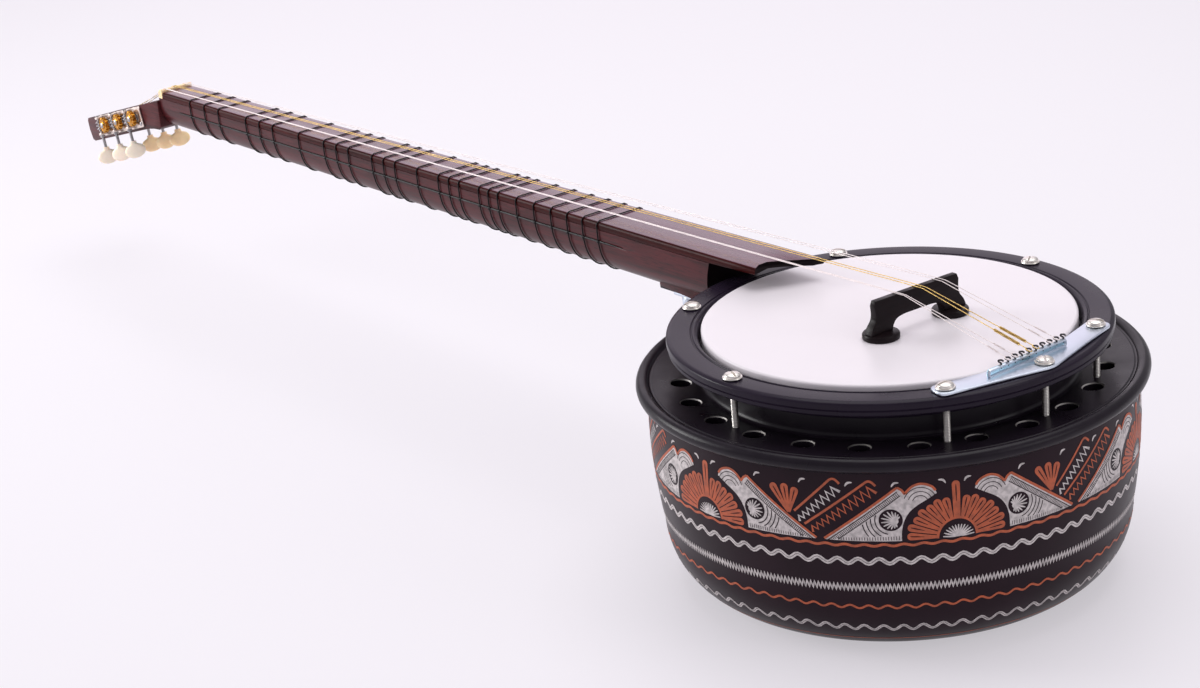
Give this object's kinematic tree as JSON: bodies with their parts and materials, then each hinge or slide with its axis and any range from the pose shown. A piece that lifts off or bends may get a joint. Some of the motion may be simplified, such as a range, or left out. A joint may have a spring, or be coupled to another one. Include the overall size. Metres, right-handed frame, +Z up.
{
  "type": "cumbus",
  "caption": "Plucked lute with a deep metal bowl, white drum head, screwed hoop, tied frets, tilting wooden neck and a slotted head with geared tuners.",
  "frame": {"origin": "centre of the bowl's flat base", "axes": "+Z up the bowl's axis to the drum head; +X from the neck towards the tailpiece, so the neck points along -X; +Y towards the far side of the pictured view"},
  "size_m": [1.0349, 0.2802, 0.1683],
  "materials": {
    "black_enamel": "satin black enamel",
    "head_film": "frosted white film",
    "zinc_plate": "bluish zinc plating",
    "plate_nickel": "nickel plating",
    "plain_steel": "plain steel",
    "wound_bronze": "bronze winding",
    "gear_brass": "bright brass",
    "button_cream": "cream plastic",
    "nut_cream": "cream plastic",
    "stained_wood": "dark stained and oiled wood",
    "bridge_black": "black stained wood",
    "fret_black": "black nylon line"
  },
  "bodies": {
    "pot": {"bowl": "black_enamel", "top_casting": "black_enamel", "drumhead": "head_film", "neck_arm": "zinc_plate", "neck_pivot_pin": "zinc_plate", "arm_screw_near": "zinc_plate", "arm_screw_far": "zinc_plate", "string_1": "plain_steel", "string_2": "plain_steel", "string_3": "wound_bronze", "string_4": "wound_bronze", "string_5": "plain_steel", "string_6": "plain_steel"},
    "hoop": {"tension_hoop": "black_enamel", "flesh_hoop": "black_enamel", "tailpiece": "zinc_plate"},
    "bridge": {"bridge": "bridge_black"},
    "neck": {"neck": "stained_wood", "fingerboard": "stained_wood", "nut": "nut_cream", "headstock": "stained_wood", "tied_frets": "fret_black", "heel_plate": "zinc_plate", "tuner_plate_near": "plate_nickel", "tuner_plate_far": "plate_nickel"},
    "tilt_bolt": {"tilt_bolt": "zinc_plate"},
    "screw_1": {"tension_screw_1": "zinc_plate"},
    "screw_2": {"tension_screw_2": "zinc_plate"},
    "screw_3": {"tension_screw_3": "zinc_plate"},
    "screw_4": {"tension_screw_4": "zinc_plate"},
    "screw_5": {"tension_screw_5": "zinc_plate"},
    "screw_6": {"tension_screw_6": "zinc_plate"},
    "screw_7": {"tension_screw_7": "zinc_plate"},
    "post_near_1": {"tuner_post_near_1": "plain_steel", "tuner_gear_near_1": "gear_brass"},
    "worm_near_1": {"tuner_worm_near_1": "plain_steel", "tuner_button_near_1": "button_cream"},
    "post_near_2": {"tuner_post_near_2": "plain_steel", "tuner_gear_near_2": "gear_brass"},
    "worm_near_2": {"tuner_worm_near_2": "plain_steel", "tuner_button_near_2": "button_cream"},
    "post_near_3": {"tuner_post_near_3": "plain_steel", "tuner_gear_near_3": "gear_brass"},
    "worm_near_3": {"tuner_worm_near_3": "plain_steel", "tuner_button_near_3": "button_cream"},
    "post_far_1": {"tuner_post_far_1": "plain_steel", "tuner_gear_far_1": "gear_brass"},
    "worm_far_1": {"tuner_worm_far_1": "plain_steel", "tuner_button_far_1": "button_cream"},
    "post_far_2": {"tuner_post_far_2": "plain_steel", "tuner_gear_far_2": "gear_brass"},
    "worm_far_2": {"tuner_worm_far_2": "plain_steel", "tuner_button_far_2": "button_cream"},
    "post_far_3": {"tuner_post_far_3": "plain_steel", "tuner_gear_far_3": "gear_brass"},
    "worm_far_3": {"tuner_worm_far_3": "plain_steel", "tuner_button_far_3": "button_cream"}
  },
  "joints": [
    {"name": "neck_tilt", "type": "hinge", "parent": "pot", "child": "neck", "pos_m": [-0.148, 0, 0.1167], "axis": [0, 1, 0], "range_deg": [-1.5, 1.5], "deforming": ["string_1", "string_2", "string_3", "string_4", "string_5", "string_6"]},
    {"name": "tilt_bolt_turn", "type": "hinge", "parent": "pot", "child": "tilt_bolt", "pos_m": [-0.166, 0, 0.1195], "axis": [0, 0, -1], "range_deg": [-240, 240]},
    {"name": "hoop_tighten", "type": "slide", "parent": "pot", "child": "hoop", "axis": [0, 0, -1], "range_m": [-0.0007, 0.0007]},
    {"name": "bridge_slide", "type": "slide", "parent": "pot", "child": "bridge", "axis": [1, 0, 0], "range_m": [-0.003, 0.003]},
    {"name": "screw_1_turn", "type": "hinge", "parent": "hoop", "child": "screw_1", "pos_m": [-0.09829, -0.05675, 0.144], "axis": [0, 0, -1], "range_deg": [-362, 362]},
    {"name": "screw_2_turn", "type": "hinge", "parent": "hoop", "child": "screw_2", "pos_m": [0, -0.1135, 0.144], "axis": [0, 0, -1], "range_deg": [-362, 362]},
    {"name": "screw_3_turn", "type": "hinge", "parent": "hoop", "child": "screw_3", "pos_m": [0.09829, -0.05675, 0.1458], "axis": [0, 0, -1], "range_deg": [-362, 362]},
    {"name": "screw_4_turn", "type": "hinge", "parent": "hoop", "child": "screw_4", "pos_m": [0.1135, 0, 0.1458], "axis": [0, 0, -1], "range_deg": [-362, 362]},
    {"name": "screw_5_turn", "type": "hinge", "parent": "hoop", "child": "screw_5", "pos_m": [0.09829, 0.05675, 0.1458], "axis": [0, 0, -1], "range_deg": [-362, 362]},
    {"name": "screw_6_turn", "type": "hinge", "parent": "hoop", "child": "screw_6", "pos_m": [0, 0.1135, 0.144], "axis": [0, 0, -1], "range_deg": [-362, 362]},
    {"name": "screw_7_turn", "type": "hinge", "parent": "hoop", "child": "screw_7", "pos_m": [-0.09829, 0.05675, 0.144], "axis": [0, 0, -1], "range_deg": [-362, 362]},
    {"name": "post_near_1_turn", "type": "hinge", "parent": "neck", "child": "post_near_1", "pos_m": [-0.80971, 0, 0.1272], "axis": [0, 1, 0], "continuous": true},
    {"name": "worm_near_1_turn", "type": "hinge", "parent": "neck", "child": "worm_near_1", "pos_m": [-0.81742, -0.0199, 0.12508], "axis": [-0.2656, 0, 0.9641], "continuous": true},
    {"name": "post_near_2_turn", "type": "hinge", "parent": "neck", "child": "post_near_2", "pos_m": [-0.83333, 0, 0.1207], "axis": [0, 1, 0], "continuous": true},
    {"name": "worm_near_2_turn", "type": "hinge", "parent": "neck", "child": "worm_near_2", "pos_m": [-0.84104, -0.0199, 0.11857], "axis": [-0.2656, 0, 0.9641], "continuous": true},
    {"name": "post_near_3_turn", "type": "hinge", "parent": "neck", "child": "post_near_3", "pos_m": [-0.85695, 0, 0.11419], "axis": [0, 1, 0], "continuous": true},
    {"name": "worm_near_3_turn", "type": "hinge", "parent": "neck", "child": "worm_near_3", "pos_m": [-0.86466, -0.0199, 0.11207], "axis": [-0.2656, 0, 0.9641], "continuous": true},
    {"name": "post_far_1_turn", "type": "hinge", "parent": "neck", "child": "post_far_1", "pos_m": [-0.80971, 0, 0.1272], "axis": [0, 1, 0], "continuous": true},
    {"name": "worm_far_1_turn", "type": "hinge", "parent": "neck", "child": "worm_far_1", "pos_m": [-0.81742, 0.0199, 0.12508], "axis": [-0.2656, 0, 0.9641], "continuous": true},
    {"name": "post_far_2_turn", "type": "hinge", "parent": "neck", "child": "post_far_2", "pos_m": [-0.83333, 0, 0.1207], "axis": [0, 1, 0], "continuous": true},
    {"name": "worm_far_2_turn", "type": "hinge", "parent": "neck", "child": "worm_far_2", "pos_m": [-0.84104, 0.0199, 0.11857], "axis": [-0.2656, 0, 0.9641], "continuous": true},
    {"name": "post_far_3_turn", "type": "hinge", "parent": "neck", "child": "post_far_3", "pos_m": [-0.85695, 0, 0.11419], "axis": [0, 1, 0], "continuous": true},
    {"name": "worm_far_3_turn", "type": "hinge", "parent": "neck", "child": "worm_far_3", "pos_m": [-0.86466, 0.0199, 0.11207], "axis": [-0.2656, 0, 0.9641], "continuous": true}
  ],
  "couplings": [
    {"joint": "tilt_bolt_turn", "follows": "neck_tilt", "ratio": 141.37},
    {"joint": "screw_1_turn", "follows": "hoop_tighten", "rad_per_m": 8976},
    {"joint": "screw_2_turn", "follows": "hoop_tighten", "rad_per_m": 8976},
    {"joint": "screw_3_turn", "follows": "hoop_tighten", "rad_per_m": 8976},
    {"joint": "screw_4_turn", "follows": "hoop_tighten", "rad_per_m": 8976},
    {"joint": "screw_5_turn", "follows": "hoop_tighten", "rad_per_m": 8976},
    {"joint": "screw_6_turn", "follows": "hoop_tighten", "rad_per_m": 8976},
    {"joint": "screw_7_turn", "follows": "hoop_tighten", "rad_per_m": 8976},
    {"joint": "post_near_1_turn", "follows": "worm_near_1_turn", "ratio": -0.071429},
    {"joint": "post_near_2_turn", "follows": "worm_near_2_turn", "ratio": -0.071429},
    {"joint": "post_near_3_turn", "follows": "worm_near_3_turn", "ratio": -0.071429},
    {"joint": "post_far_1_turn", "follows": "worm_far_1_turn", "ratio": -0.071429},
    {"joint": "post_far_2_turn", "follows": "worm_far_2_turn", "ratio": -0.071429},
    {"joint": "post_far_3_turn", "follows": "worm_far_3_turn", "ratio": -0.071429}
  ]
}
